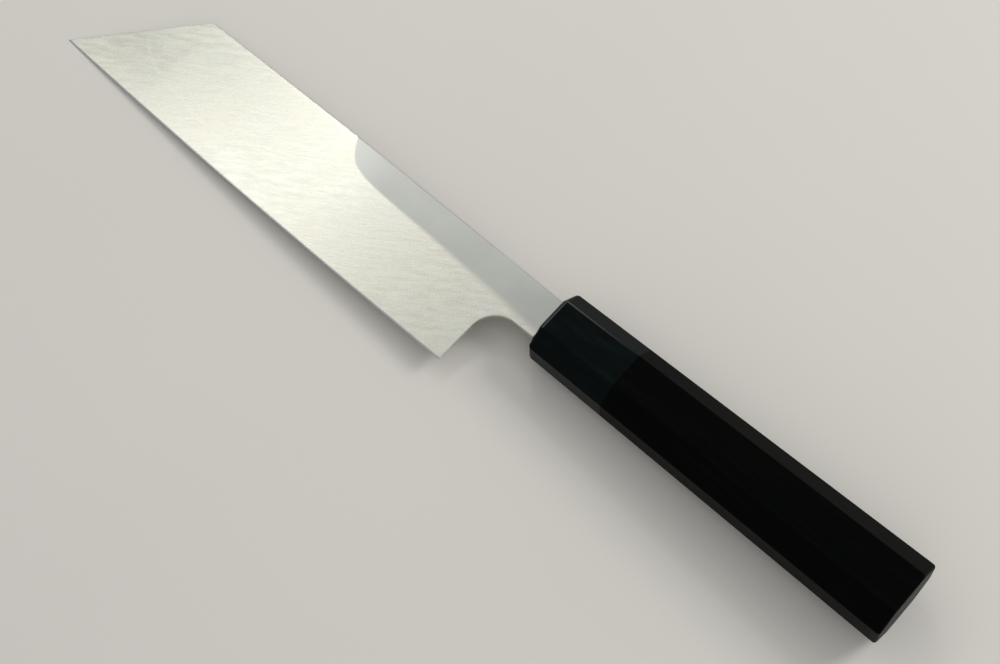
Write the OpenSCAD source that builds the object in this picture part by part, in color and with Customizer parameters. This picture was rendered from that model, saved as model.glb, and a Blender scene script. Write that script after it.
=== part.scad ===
// Single-bevel eel knife with an octagonal handle, lying on its side as it rests on a board.
// Every piece is drawn on the knife's own axes first: X along the handle axis with the tip
// towards -X and x = 0 at the handle's front face, the edge towards -Y, the flat back down.
// lay_down() then tips the knife until the blade's tip and the front of the handle touch z = 0.

/* [Blade outline] */
// Handle front face to blade tip
blade_len = 178; // [150:1:240]
// Tip's distance from the handle axis
tip_drop = 24.8; // [20:0.5:30]
// Heel's distance in front of the handle
heel_gap = 18.4; // [16:0.2:26]
// Heel's distance from the handle axis
heel_drop = 29.2; // [26:0.2:36]
// Belly of the edge, measured from the chord
edge_belly = 0.9; // [0.1:0.1:1]
// Spine's height above the handle axis at the handle
neck_top = 6.7; // [6:0.1:8]
// Neck's lower side below the handle axis
neck_bottom = 7.2; // [6:0.1:8]
// Spine's height above the handle axis at the tip corner
spine_top = 8.6; // [7.5:0.1:10]
// Crown of the spine, measured from its chord
spine_crown = 0.2; // [0.1:0.1:1]
// Length of the slanted tip along the knife
tip_run = 31.2; // [20:0.5:50]
// Radius where the slanted tip meets the spine
tip_corner_r = 3; // [1:0.5:5]
// Radius of the finger notch
notch_r = 9; // [6:0.5:12]
// Lean of the heel towards the tip, from heel to notch
heel_lean = 1.0; // [0:0.1:2]

/* [Blade thickness] */
// Thickness at the neck
neck_t = 4.4; // [4:0.1:6]
// Thickness where the flat side ends at the spine
flat_end_t = 4.0; // [3.5:0.1:5]
// Distance from the handle to where the flat side ends at the spine
flat_len = 84; // [60:1:110]
// Thickness of the spine at the tip corner
tip_corner_t = 2.0; // [1.5:0.1:3]
// Width of the bevel behind the notch
bevel_w = 26; // [20:0.5:30]
// Thickness left at the edge chord
edge_land = 0.15; // [0.1:0.01:0.2]
// Thickness of the hard steel layer
hard_t = 1.2; // [0.8:0.1:2]
// Depth of the hollow ground into the back
hollow_depth = 0.4; // [0.2:0.05:0.6]
// Width of the flat rim round the hollow
hollow_rim = 3; // [2:0.5:5]
// Distance from the handle to where the hard layer ends on the neck
hard_end = 6; // [3:0.5:10]

/* [Handle] */
// Overall length of the handle
handle_len = 129; // [110:1:150]
// Length of the horn ferrule
ferrule_len = 28; // [22:1:36]
// Width across the flats at the front, edge to spine
front_w = 22; // [20:0.5:26]
// Thickness across the flats at the front
front_t = 18.5; // [17:0.1:20]
// Corner cut at the front
front_cut = 5.5; // [4.5:0.1:6.5]
// Width across the flats at the butt
butt_w = 26; // [22:0.5:30]
// Thickness across the flats at the butt
butt_t = 22.0; // [18:0.1:26]
// Corner cut at the butt
butt_cut = 6.3; // [5:0.1:7.5]
// Easing of the front and butt rims
rim = 1.0; // [0.4:0.1:1.5]

/* [Tang] */
// Length of the tang inside the handle
tang_len = 92; // [70:1:100]
// Depth of the neck's shoulder inside the ferrule
shoulder_in = 3; // [2:0.5:5]
// Tang width behind the shoulder
tang_w0 = 11; // [9:0.5:12]
// Tang width at its end
tang_w1 = 6; // [4:0.5:8]
// Tang thickness
tang_t = 3.8; // [3:0.1:4.2]
// Resin gap round the tang
bed = 0.3; // [0.2:0.05:0.5]
// Diameter of the tenon that joins grip to ferrule
tenon_d = 14.4; // [13.5:0.1:15]
// Depth of the horn in front of the tenon
ferrule_wall = 8; // [6:0.5:12]
// Depth of the seal in the ferrule's mouth
seal_in = 1.0; // [0.6:0.1:2]
// Width of the seal bead round the neck
bead = 1.1; // [0.5:0.1:1.4]

/* [Hidden] */

// Small overshoot that keeps cuts clear of the faces they pass through
over = 5;
// Clearance of the glued tenon in its bore
glue = 0.1;
// Steps in one gentle curve of the outline
steps = 24;
// Segments of the round tenon
round_fn = 64;

back_z = -neck_t / 2;
tip = [-blade_len, -tip_drop];
heel = [-heel_gap, -heel_drop];
corner = [tip_run - blade_len, spine_top];
neck_spine = [0, neck_top];
grip_len = handle_len - ferrule_len;
notch_line_x = heel_lean - heel_gap;
notch_c = [notch_line_x + notch_r, -neck_bottom - notch_r];

// Points on a shallow arc from a to b that bulges to the right of that direction
function shallow_arc(a, b, bulge, n) = [
    for (i = [0 : n])
        let (s = i / n, d = (b - a) / norm(b - a))
        a + (b - a) * s + [d.y, -d.x] * bulge * 4 * s * (1 - s)
];

// Unit vector, and the points of the fillet at corner p between the rays to a and b
function unit(v) = v / norm(v);
function fillet(a, p, b, r, n) =
    let (
        u = unit(a - p),
        v = unit(b - p),
        half = acos(u * v) / 2,
        c = p + unit(u + v) * r / sin(half),
        from = p + u * r / tan(half) - c,
        to = p + v * r / tan(half) - c
    )
    [for (i = [0 : n]) c + unit(from * (n - i) + to * i) * r];

spine_line = shallow_arc(neck_spine, corner, spine_crown, steps);
edge_line = shallow_arc(tip, heel, edge_belly, steps);
tip_fillet = fillet(spine_line[steps - 1], corner, tip, tip_corner_r, 8);

function half_w(x) = (front_w + (butt_w - front_w) * x / handle_len) / 2;
function half_t(x) = (front_t + (butt_t - front_t) * x / handle_len) / 2;
function cut(x) = front_cut + (butt_cut - front_cut) * x / handle_len;

// Angle at which the knife lies: blade tip and eased front rim both at z = 0
lay_angle = atan((half_t(rim) + back_z) / (blade_len + rim));
floor_z = rim * sin(lay_angle) - half_t(rim) * cos(lay_angle);
tip_x = -blade_len * cos(lay_angle) - back_z * sin(lay_angle);
butt_x = handle_len * cos(lay_angle) + (half_t(handle_len) - rim) * sin(lay_angle);
mid_x = (tip_x + butt_x) / 2;
mid_y = (half_w(handle_len) - heel_drop) / 2;

module lay_down() {
    translate([-mid_x, -mid_y, -floor_z])
        rotate([0, -lay_angle, 0])
            children();
}

// Outline of the blade from above, neck included
module blade_outline() {
    polygon([
        [shoulder_in, -neck_bottom],
        [shoulder_in, neck_top],
        for (i = [0 : steps - 2]) spine_line[i],
        each tip_fillet,
        each edge_line,
        for (a = [180 : -10 : 90]) notch_c + notch_r * [cos(a), sin(a)]
    ]);
}

// Space under a sloping plane: z = z0 at the line a-b, rising by slope to its left
module under_slope(a, b, z0, slope) {
    reach = 3 * blade_len;
    drop = 2 * over;
    d = b - a;
    translate([a.x, a.y, 0])
        rotate([0, 0, atan2(d.y, d.x)])
            translate([-reach / 2, 0, 0])
                rotate([90, 0, 90])
                    linear_extrude(height = reach)
                        polygon([
                            [-over, back_z - drop],
                            [reach, back_z - drop],
                            [reach, z0 + slope * reach],
                            [-over, z0 - slope * over]
                        ]);
}

// Space under the flat side, which thins from the neck towards the tip
module under_flat_side() {
    slope = (neck_t - flat_end_t) / flat_len;
    z0 = back_z + neck_t - slope * blade_len;
    under_slope([-blade_len, blade_len], [-blade_len, -blade_len], z0, slope);
}

// Space under the front plane, through the tip, the tip corner and the end of the flat side
module under_front_plane() {
    rise = (flat_end_t - tip_corner_t) / (-corner.x - flat_len);
    tilt = (tip_corner_t - edge_land - rise * tip_run) / (corner.y - tip.y);
    grade = norm([rise, tilt]);
    along = [tilt, -rise] / grade;
    under_slope(tip, tip + along, back_z + edge_land, grade);
}

// The whole ground blade, both layers together
module ground_blade() {
    bevel = (flat_end_t - edge_land) / bevel_w;
    intersection() {
        translate([0, 0, back_z])
            linear_extrude(height = neck_t)
                blade_outline();
        under_flat_side();
        under_slope(tip, heel, back_z + edge_land, bevel);
        under_front_plane();
    }
}

// Space of the hard layer: the back of the blade as far as the neck
module hard_layer_space() {
    translate([-blade_len - over, -blade_len / 2, back_z - over])
        cube([blade_len + over - hard_end, blade_len, over + hard_t]);
}

// Shallow hollow ground along the back, inside a flat rim
module back_hollow() {
    low = hollow_rim - heel_drop;
    high = neck_top - hollow_rim;
    across = shallow_arc([high, back_z], [low, back_z], hollow_depth, steps / 2);
    intersection() {
        translate([-blade_len, 0, 0])
            rotate([90, 0, 90])
                linear_extrude(height = blade_len)
                    polygon([each across, [low, back_z - 1], [high, back_z - 1]]);
        translate([0, 0, back_z - 1])
            linear_extrude(height = 1 + hollow_depth)
                polygon([
                    tip + [3 * hollow_rim, 1.5 * hollow_rim],
                    corner + [0, -hollow_rim],
                    [notch_line_x - hollow_rim, neck_top - hollow_rim],
                    heel + [-hollow_rim, hollow_rim]
                ]);
    }
}

// Tapering tang; grow adds the same room on every side
module tang_form(grow) {
    translate([0, 0, -tang_t / 2 - grow])
        linear_extrude(height = tang_t + 2 * grow)
            polygon([
                [shoulder_in - grow, -tang_w0 / 2 - grow],
                [shoulder_in - grow, tang_w0 / 2 + grow],
                [tang_len + grow, tang_w1 / 2 + grow],
                [tang_len + grow, -tang_w1 / 2 - grow]
            ]);
}

// Mouth of the ferrule, which takes the full neck and its shoulder
module mouth_space() {
    translate([-over, -neck_bottom - bed, back_z - bed])
        cube([over + shoulder_in + bed, neck_top + neck_bottom + 2 * bed, neck_t + 2 * bed]);
}

// Octagonal bar between two stations, with its own taper and an inset at each end
module octagon_bar(x0, x1, inset0, inset1) {
    w = [half_w(x0) - inset0, half_w(x1) - inset1];
    t = [half_t(x0) - inset0, half_t(x1) - inset1];
    shave = 2 - sqrt(2);
    c = [cut(x0) - inset0 * shave, cut(x1) - inset1 * shave];
    diag = [(w[0] + t[0] - c[0]) / sqrt(2), (w[1] + t[1] - c[1]) / sqrt(2)];
    intersection() {
        taper_slab(x0, x1, w, 0);
        taper_slab(x0, x1, t, 90);
        taper_slab(x0, x1, diag, 45);
        taper_slab(x0, x1, diag, 135);
    }
}

// Slab between two tapering sides, turned about the handle axis
module taper_slab(x0, x1, h, turn) {
    rotate([turn, 0, 0])
        translate([0, 0, -butt_w])
            linear_extrude(height = 2 * butt_w)
                polygon([[x0, -h[0]], [x0, h[0]], [x1, h[1]], [x1, -h[1]]]);
}

// Round tenon on the handle axis
module tenon(d, x0, x1) {
    translate([x0, 0, 0])
        rotate([0, 90, 0])
            cylinder(d = d, h = x1 - x0, $fn = round_fn);
}

module blade_body() {
    color("gainsboro")
        lay_down()
            union() {
                difference() {
                    ground_blade();
                    hard_layer_space();
                }
                tang_form(0);
            }
}

module hard_steel() {
    color("whitesmoke")
        lay_down()
            difference() {
                intersection() {
                    ground_blade();
                    hard_layer_space();
                }
                back_hollow();
            }
}

module horn_ferrule() {
    color([0.09, 0.09, 0.1])
        lay_down()
            difference() {
                intersection() {
                    octagon_bar(0, ferrule_len, 0, 0);
                    octagon_bar(0, ferrule_len, rim, rim - ferrule_len);
                }
                mouth_space();
                tang_form(bed);
                tenon(tenon_d + 2 * glue, ferrule_wall, ferrule_len + over);
            }
}

module grip() {
    color([0.05, 0.05, 0.05])
        lay_down()
            difference() {
                union() {
                    intersection() {
                        octagon_bar(ferrule_len, handle_len, 0, 0);
                        octagon_bar(ferrule_len, handle_len, rim - grip_len, rim);
                    }
                    tenon(tenon_d, ferrule_wall + glue, ferrule_len + over);
                }
                tang_form(bed);
            }
}

module tang_bedding() {
    color("darkgoldenrod")
        lay_down()
            difference() {
                union() {
                    intersection() {
                        mouth_space();
                        translate([seal_in, -butt_w, -butt_w])
                            cube([handle_len, 2 * butt_w, 2 * butt_w]);
                    }
                    tang_form(bed);
                }
                tang_form(0);
                translate([-over, -neck_bottom, back_z])
                    cube([over + shoulder_in, neck_top + neck_bottom, neck_t]);
            }
}

module mouth_seal() {
    color([0.04, 0.04, 0.04])
        lay_down()
            difference() {
                union() {
                    seal_block(-bead / 2, 0, bead);
                    seal_block(-bead, -bead / 2, bead / 2);
                    seal_block(0, seal_in, bed);
                }
                ground_blade();
            }
}

// Block round the neck from x0 to x1, standing proud of it by grow
module seal_block(x0, x1, grow) {
    translate([x0, -neck_bottom - grow, back_z - grow])
        cube([x1 - x0, neck_top + neck_bottom + 2 * grow, neck_t + 2 * grow]);
}

blade_body();
hard_steel();
horn_ferrule();
grip();
tang_bedding();
mouth_seal();
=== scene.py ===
"""Looks of a single-bevel eel knife: ground blade, horn ferrule, octagonal wooden grip and stage."""

import math

import bmesh
import bpy
import numpy as np
from bpy.props import FloatProperty, FloatVectorProperty, IntProperty, PointerProperty
from mathutils import Matrix, Vector
from mathutils.geometry import delaunay_2d_cdt


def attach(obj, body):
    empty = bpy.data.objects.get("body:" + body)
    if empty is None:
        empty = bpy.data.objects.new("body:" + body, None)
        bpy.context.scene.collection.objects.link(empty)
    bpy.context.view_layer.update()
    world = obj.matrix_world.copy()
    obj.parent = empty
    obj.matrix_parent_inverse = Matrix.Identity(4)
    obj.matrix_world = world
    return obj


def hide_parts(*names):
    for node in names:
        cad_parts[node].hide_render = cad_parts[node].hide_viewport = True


bl_info = {
    "name": "Octagonal-Handled Eel Knife",
    "version": (1, 0, 0),
    "blender": (4, 5, 0),
    "location": "View3D > Sidebar > Knife",
    "description": "Builds the visible pieces, finishes and stage of a single-bevel eel knife",
    "category": "Object",
}

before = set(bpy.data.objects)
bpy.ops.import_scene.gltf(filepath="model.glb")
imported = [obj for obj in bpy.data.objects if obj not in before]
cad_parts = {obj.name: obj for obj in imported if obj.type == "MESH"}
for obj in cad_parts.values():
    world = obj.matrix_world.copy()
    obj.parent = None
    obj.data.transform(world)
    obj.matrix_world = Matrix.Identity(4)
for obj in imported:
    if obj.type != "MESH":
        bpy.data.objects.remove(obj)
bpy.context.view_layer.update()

BODY = "root"


# ---------------------------------------------------------------------------
# Node building
# ---------------------------------------------------------------------------


def arithmetic(operation, swapped=False):
    """Operator method that adds one Math node to the wire's graph."""

    def method(wire, other):
        pair = (other, wire) if swapped else (wire, other)
        return wire.graph.math(operation, *pair)

    return method


class Wire:
    """One output socket of a graph; arithmetic on it adds Math nodes."""

    __add__, __radd__ = arithmetic("ADD"), arithmetic("ADD", swapped=True)
    __sub__, __rsub__ = arithmetic("SUBTRACT"), arithmetic("SUBTRACT", swapped=True)
    __mul__, __truediv__ = arithmetic("MULTIPLY"), arithmetic("DIVIDE")

    def __init__(self, graph, socket):
        self.graph = graph
        self.socket = socket


class Graph:
    """A node tree under construction, for a finish or for a shape."""

    def __init__(self, tree):
        self.tree = tree

    def node(self, kind, settings=None, sockets=None):
        """Adds a node: its settings first, then the values or links of its sockets."""
        node = self.tree.nodes.new(kind)
        for name, value in (settings or {}).items():
            setattr(node, name, value)
        for key, value in (sockets or {}).items():
            self.feed(self.find(node.inputs, key), value)
        return {socket.identifier: Wire(self, socket) for socket in node.outputs}

    def find(self, sockets, key):
        """Socket with that identifier."""
        for socket in sockets:
            if socket.identifier == key:
                return socket
        raise KeyError(f"{sockets} has no socket {key}")

    def feed(self, socket, value):
        """Links a wire to a socket, or sets the socket's own value."""
        if isinstance(value, Wire):
            self.tree.links.new(value.socket, socket)
        else:
            socket.default_value = value

    def math(self, operation, first, second=None):
        """Result of one Math node."""
        sockets = {"Value": first}
        if second is not None:
            sockets["Value_001"] = second
        return self.node("ShaderNodeMath", {"operation": operation}, sockets)["Value"]

    def vector(self, operation, first, second):
        """Result of one Vector Math node on two vectors, or on a vector and a scale."""
        key = "Scale" if operation == "SCALE" else "Vector_001"
        sockets = {"Vector": first, key: second}
        return self.node("ShaderNodeVectorMath", {"operation": operation}, sockets)["Vector"]


class Finish(Graph):
    """One procedural material: its shader and the patterns that feed it."""

    def __init__(self, name, constants=None):
        self.material = bpy.data.materials.new(name)
        self.material.use_nodes = True
        super().__init__(self.material.node_tree)
        self.shader = self.tree.nodes["Principled BSDF"]
        for socket, value in (constants or {}).items():
            self.set(socket, value)
        self.place = self.node("ShaderNodeTexCoord")["Object"]

    def set(self, socket, value):
        """Sets or links one socket of the shader."""
        self.feed(self.shader.inputs[socket], value)

    def colour(self, name):
        """One of the base colours of the settings."""
        return tuple(getattr(bpy.context.scene.knife_finish, name))

    def noise(self, where, scale=1.0, detail=2.0, roughness=0.5):
        """Noise value from 0 to 1."""
        sockets = {"Vector": where, "Scale": scale, "Detail": detail, "Roughness": roughness}
        return self.node("ShaderNodeTexNoise", None, sockets)["Fac"]

    def grain(self, where, cell, turn=0.0, detail=2.0, roughness=0.5):
        """Noise value in cells of the given size, turned about the vertical."""
        sockets = {"Vector": where, "Rotation": (0.0, 0.0, turn), "Scale": cell}
        where = self.node("ShaderNodeMapping", {"vector_type": "TEXTURE"}, sockets)["Vector"]
        return self.noise(where, detail=detail, roughness=roughness)

    def wandering(self, where, scale, reach):
        """Coordinates pushed about by a slow noise, up to half of reach each way."""
        drift = self.node("ShaderNodeTexNoise", None, {"Vector": where, "Scale": scale})["Color"]
        centred = self.vector("SUBTRACT", drift, (0.5, 0.5, 0.5))
        return self.vector("ADD", where, self.vector("SCALE", centred, reach))

    def band(self, value, low, high, out_low=0.0, out_high=1.0):
        """Smooth step of a value from low to high, given as out_low to out_high."""
        sockets = {"Value": value, "From Min": low, "From Max": high}
        sockets.update({"To Min": out_low, "To Max": out_high})
        settings = {"interpolation_type": "SMOOTHSTEP"}
        return self.node("ShaderNodeMapRange", settings, sockets)["Result"]

    def mix(self, factor, first, second):
        """Blend of two colours."""
        first = (*first, 1.0) if isinstance(first, tuple) else first
        second = (*second, 1.0) if isinstance(second, tuple) else second
        sockets = {"Factor_Float": factor, "A_Color": first, "B_Color": second}
        return self.node("ShaderNodeMix", {"data_type": "RGBA"}, sockets)["Result_Color"]

    def attribute(self, name):
        """Value of one of the piece's own mesh attributes."""
        return self.node("ShaderNodeAttribute", {"attribute_name": name})["Fac"]

    def relief(self, height, depth, under=None):
        """Normal from a height field, depth in metres, laid over another relief."""
        sockets = {"Height": height, "Distance": depth, "Strength": 1.0}
        if under is not None:
            sockets["Normal"] = under
        return self.node("ShaderNodeBump", None, sockets)["Normal"]


class Shape(Graph):
    """A Geometry Nodes tree that makes one piece from named inputs."""

    def __init__(self, name, lengths, counts):
        tree = bpy.data.node_groups.new(name, "GeometryNodeTree")
        super().__init__(tree)
        inputs = [("Geometry", "Geometry")]
        inputs += [(label, "Float") for label in lengths] + [(label, "Int") for label in counts]
        inputs.append(("Finish", "Material"))
        for label, kind in inputs:
            tree.interface.new_socket(label, in_out="INPUT", socket_type=f"NodeSocket{kind}")
        tree.interface.new_socket("Geometry", in_out="OUTPUT", socket_type="NodeSocketGeometry")
        source = tree.nodes.new("NodeGroupInput")
        self.given = {socket.name: Wire(self, socket) for socket in source.outputs if socket.name}

    def finish_with(self, geometry):
        """Ends the tree: instances made real, finish set, geometry handed out."""
        real = self.node("GeometryNodeRealizeInstances", None, {"Geometry": geometry})["Geometry"]
        sockets = {"Geometry": real, "Material": self.given["Finish"]}
        done = self.node("GeometryNodeSetMaterial", None, sockets)["Geometry"]
        sink = self.tree.nodes.new("NodeGroupOutput")
        self.tree.links.new(done.socket, sink.inputs[0])

    def make(self, name, finish, **values):
        """Runs the tree with these inputs, by label, and returns a plain mesh with one finish."""
        carrier = bpy.data.objects.new(name, bpy.data.meshes.new(name))
        bpy.context.scene.collection.objects.link(carrier)
        modifier = carrier.modifiers.new("shape", "NODES")
        modifier.node_group = self.tree
        values["finish"] = finish
        for item in self.tree.interface.items_tree:
            key = item.name.lower().replace(" ", "_")
            if item.in_out == "INPUT" and key in values:
                modifier[item.identifier] = values[key]
        carrier.update_tag()
        graph = bpy.context.evaluated_depsgraph_get()
        mesh = bpy.data.meshes.new_from_object(carrier.evaluated_get(graph))
        mesh.name = name
        bpy.data.objects.remove(carrier)
        if len(mesh.polygons) == 0:
            raise RuntimeError(f"{name} came out empty")
        settle(mesh, finish)
        return mesh


def settle(mesh, finish):
    """Leaves a made mesh with outward normals and one finish."""
    work = bmesh.new()
    work.from_mesh(mesh)
    bmesh.ops.recalc_face_normals(work, faces=work.faces)
    for face in work.faces:
        face.material_index = 0
    work.to_mesh(mesh)
    work.free()
    mesh.materials.clear()
    mesh.materials.append(finish)


# ---------------------------------------------------------------------------
# Sizes and colours
# ---------------------------------------------------------------------------


def number(name, default, description, **rest):
    """A number that the sidebar shows."""
    return FloatProperty(name=name, description=description, default=default, **rest)


def length(name, default, description):
    """A length in metres, given as millimetres in the listing below."""
    return number(name, default / 1000, description, min=0.0, precision=5, unit="LENGTH")


def angle(name, default, description):
    """An angle, given as degrees in the listing below."""
    return number(name, math.radians(default), description, subtype="ANGLE")


def power(name, default, description):
    """The power of a light."""
    return number(name, default, description, min=0.0, unit="POWER")


def steps(name, default, description):
    """A number of faces."""
    return IntProperty(name=name, description=description, default=default, min=1)


def triple(name, default, description, **rest):
    """A point or a colour."""
    return FloatVectorProperty(name=name, description=description, default=default, size=3, **rest)


def colour(name, default, description):
    """A colour in linear light."""
    return triple(name, default, description, min=0.0, max=1.0, subtype="COLOR")


class BladeSizes(bpy.types.PropertyGroup):
    """Outline, grind and easing of the blade, on the knife's own axes."""

    blade_length: length("Blade Length", 178.0, "Handle front to tip")
    tip_drop: length("Tip Drop", 24.8, "Tip below the handle axis, towards the edge")
    heel_gap: length("Heel Gap", 18.4, "Heel in front of the handle")
    heel_drop: length("Heel Drop", 29.2, "Heel below the handle axis, towards the edge")
    edge_belly: length("Edge Belly", 0.9, "Bulge of the edge past its chord")
    neck_top: length("Neck Top", 6.7, "Spine above the handle axis at the handle")
    neck_bottom: length("Neck Bottom", 7.2, "Neck's lower side below the handle axis")
    spine_top: length("Spine Top", 8.6, "Spine above the handle axis at the tip corner")
    spine_crown: length("Spine Crown", 0.2, "Bulge of the spine past its chord")
    tip_run: length("Tip Run", 31.2, "Length of the slanted tip along the knife")
    tip_radius: length("Tip Corner Radius", 3.0, "Round between slanted tip and spine")
    notch_radius: length("Notch Radius", 9.0, "Round of the finger notch")
    heel_lean: length("Heel Lean", 1.0, "Lean of the heel towards the tip")
    neck_thickness: length("Neck Thickness", 4.4, "Thickness at the handle")
    flat_thickness: length("Flat End Thickness", 4.0, "Thickness where the flat side ends")
    tip_thickness: length("Tip Corner Thickness", 2.0, "Spine thickness at the tip corner")
    edge_land: length("Edge Land", 0.15, "Bevel height carried out to the edge")
    edge_tip: length("Edge Tip", 0.02, "Thickness left at the very edge")
    micro_bevel: length("Micro Bevel", 0.45, "Width of the honed strip along the edge")
    hard_layer: length("Hard Layer", 1.2, "Thickness of the hard steel layer")
    hard_end: length("Hard Layer End", 6.0, "End of the hard layer in front of the handle")
    hollow_depth: length("Hollow Depth", 0.4, "Depth of the hollow in the back")
    hollow_rim: length("Hollow Rim", 3.0, "Flat rim round the hollow")
    easing: length("Easing", 0.3, "Round on the spine, neck and notch edges")
    shoulder: length("Shoulder", 3.0, "Neck inside the ferrule")
    tang_length: length("Tang Length", 92.0, "Tang inside the handle")
    tang_front: length("Tang Front Width", 11.0, "Tang width behind the shoulder")
    tang_back: length("Tang Back Width", 6.0, "Tang width at its end")
    tang_thickness: length("Tang Thickness", 3.8, "Thickness of the tang")


class HandleSizes(bpy.types.PropertyGroup):
    """Octagonal section, easing and seal of the handle."""

    handle_length: length("Handle Length", 129.0, "Front face to butt")
    ferrule_length: length("Ferrule Length", 28.0, "Length of the horn")
    front_width: length("Front Width", 22.0, "Across the flats at the front, edge to spine")
    front_thickness: length("Front Thickness", 18.5, "Across the flats at the front")
    front_corner: length("Front Corner", 5.5, "Corner cut at the front")
    butt_width: length("Butt Width", 26.0, "Across the flats at the butt, edge to spine")
    butt_thickness: length("Butt Thickness", 22.0, "Across the flats at the butt")
    butt_corner: length("Butt Corner", 6.3, "Corner cut at the butt")
    arris: length("Arris Radius", 0.9, "Round on the eight long corners")
    front_rim: length("Front Rim", 1.5, "Round of the front rim")
    butt_rim: length("Butt Rim", 1.0, "Round of the butt rim")
    joint_rim: length("Joint Rim", 0.04, "Easing at the joint of horn and wood")
    mouth_room: length("Mouth Room", 0.3, "Room round the neck in the ferrule's mouth")
    mouth_depth: length("Mouth Depth", 3.3, "Depth of the mouth round the neck's shoulder")
    bead_radius: length("Bead Radius", 0.62, "Radius of the seal bead")
    bead_offset: length("Bead Offset", 0.38, "Bead's middle outside the neck")
    bead_stand: length("Bead Stand", 0.3, "Bead's middle in front of the ferrule")
    arris_steps: steps("Arris Steps", 5, "Faces across one rounded corner")
    rim_steps: steps("Rim Steps", 6, "Faces across one rounded rim")


class FinishColours(bpy.types.PropertyGroup):
    """Base colours of the knife's materials."""

    bevel: colour("Ground Bevel", (0.875, 0.87, 0.765), "Stone-ground steel of the bevel")
    flat: colour("Satin Flat", (0.50, 0.51, 0.475), "Satin steel of the flat side")
    back: colour("Ground Back", (0.62, 0.62, 0.60), "Hard steel of the back")
    horn: colour("Horn", (0.0026, 0.0047, 0.0046), "Polished black horn")
    wood: colour("Wood", (0.0012, 0.0016, 0.0015), "Oiled black wood")
    pores: colour("Wood Pores", (0.0034, 0.0028, 0.0024), "Paler streaks of the wood")
    resin: colour("Resin", (0.22, 0.11, 0.03), "Set resin round the tang")
    seal: colour("Seal", (0.006, 0.006, 0.006), "Black sealant at the mouth")
    floor: colour("Floor", (0.80, 0.775, 0.725), "Plain pale floor")


class StageSettings(bpy.types.PropertyGroup):
    """Camera and lights."""

    lens: number("Lens", 79.44, "Focal length", min=1.0, unit="CAMERA")
    azimuth: angle("Azimuth", 40.831, "Camera round the knife")
    elevation: angle("Elevation", 68.503, "Camera above the floor")
    roll: angle("Roll", -0.601, "Camera about its own axis")
    distance: length("Distance", 644.47, "Camera to the point it looks at")
    target: triple(
        "Target", (0.01412, -0.00336, 0.008), "Point the camera looks at", subtype="XYZ", unit="LENGTH"
    )
    strip_power: power("Strip Power", 0.47, "Long light over the bevel")
    panel_power: power("Panel Power", 0.57, "Small light over the flat side")
    side_power: power("Side Power", 4.4, "Soft light from the spine's side")
    room: number("Room Light", 0.5, "Strength of the even light all round", min=0.0)


# ---------------------------------------------------------------------------
# Knife axes
# ---------------------------------------------------------------------------


# Round of the handle's front rim that the knife lies on, in millimetres
LYING_RIM = 1.0


def millimetres(group, name):
    """A stored length in millimetres, the unit of the shapes below."""
    return getattr(group, name) * 1000


def lying():
    """Matrix from the knife's axes, in millimetres, to the row frame, in metres.

    X runs along the handle axis with the tip towards -X and x = 0 at the handle's front face,
    the edge is towards -Y, and the flat back is down. The knife lies on its tip and front rim.
    """
    blade, handle = bpy.context.scene.knife_blade, bpy.context.scene.knife_handle
    rim = LYING_RIM
    long = millimetres(handle, "handle_length")
    front_half = millimetres(handle, "front_thickness") / 2
    butt_half = millimetres(handle, "butt_thickness") / 2
    rim_half = front_half + (butt_half - front_half) * rim / long
    back = -millimetres(blade, "neck_thickness") / 2
    reach = millimetres(blade, "blade_length")
    angle = math.atan((rim_half + back) / (reach + rim))
    floor = rim * math.sin(angle) - rim_half * math.cos(angle)
    tip_x = -reach * math.cos(angle) - back * math.sin(angle)
    butt_x = long * math.cos(angle) + (butt_half - rim) * math.sin(angle)
    mid_y = (millimetres(handle, "butt_width") / 2 - millimetres(blade, "heel_drop")) / 2
    shift = Matrix.Translation((-(tip_x + butt_x) / 2, -mid_y, -floor))
    return Matrix.Scale(0.001, 4) @ shift @ Matrix.Rotation(-angle, 4, "Y")


def add_piece(name, mesh, replaced, sharp=math.radians(30), weighted=True, shading=None):
    mesh.transform(lying())
    for polygon in mesh.polygons:
        polygon.use_smooth = True
    mesh.set_sharp_from_angle(angle=sharp)
    piece = bpy.data.objects.new(name, mesh)
    bpy.context.scene.collection.objects.link(piece)
    if weighted:
        modifier = piece.modifiers.new("normals", "WEIGHTED_NORMAL")
        modifier.mode = "FACE_AREA"
        modifier.keep_sharp = True
        graph = bpy.context.evaluated_depsgraph_get()
        weighed = bpy.data.meshes.new_from_object(piece.evaluated_get(graph))
        piece.modifiers.clear()
        piece.data = weighed
        weighed.name = name
        bpy.data.meshes.remove(mesh)
    if shading is not None:
        shading(piece.data)
    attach(piece, BODY)
    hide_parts(*replaced)


# ---------------------------------------------------------------------------
# Blade
# ---------------------------------------------------------------------------


def shallow_arc(start, end, bulge, count):
    """Points from start to end that bulge to the right of that direction."""
    start, end = np.array(start, float), np.array(end, float)
    along = (end - start) / np.linalg.norm(end - start)
    side = np.array([along[1], -along[0]])
    s = np.linspace(0, 1, count + 1)[:, None]
    return start + (end - start) * s + side * bulge * 4 * s * (1 - s)


def fillet(before, corner, after, radius, count):
    """Points of the round at a corner between the rays to before and after."""
    before, corner, after = (np.array(p, float) for p in (before, corner, after))
    u = (before - corner) / np.linalg.norm(before - corner)
    v = (after - corner) / np.linalg.norm(after - corner)
    half = math.acos(float(u @ v)) / 2
    centre = corner + (u + v) / np.linalg.norm(u + v) * radius / math.sin(half)
    start = corner + u * radius / math.tan(half) - centre
    end = corner + v * radius / math.tan(half) - centre
    points = [start * (1 - s) + end * s for s in np.linspace(0, 1, count + 1)]
    return np.array([centre + p / np.linalg.norm(p) * radius for p in points])


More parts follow.
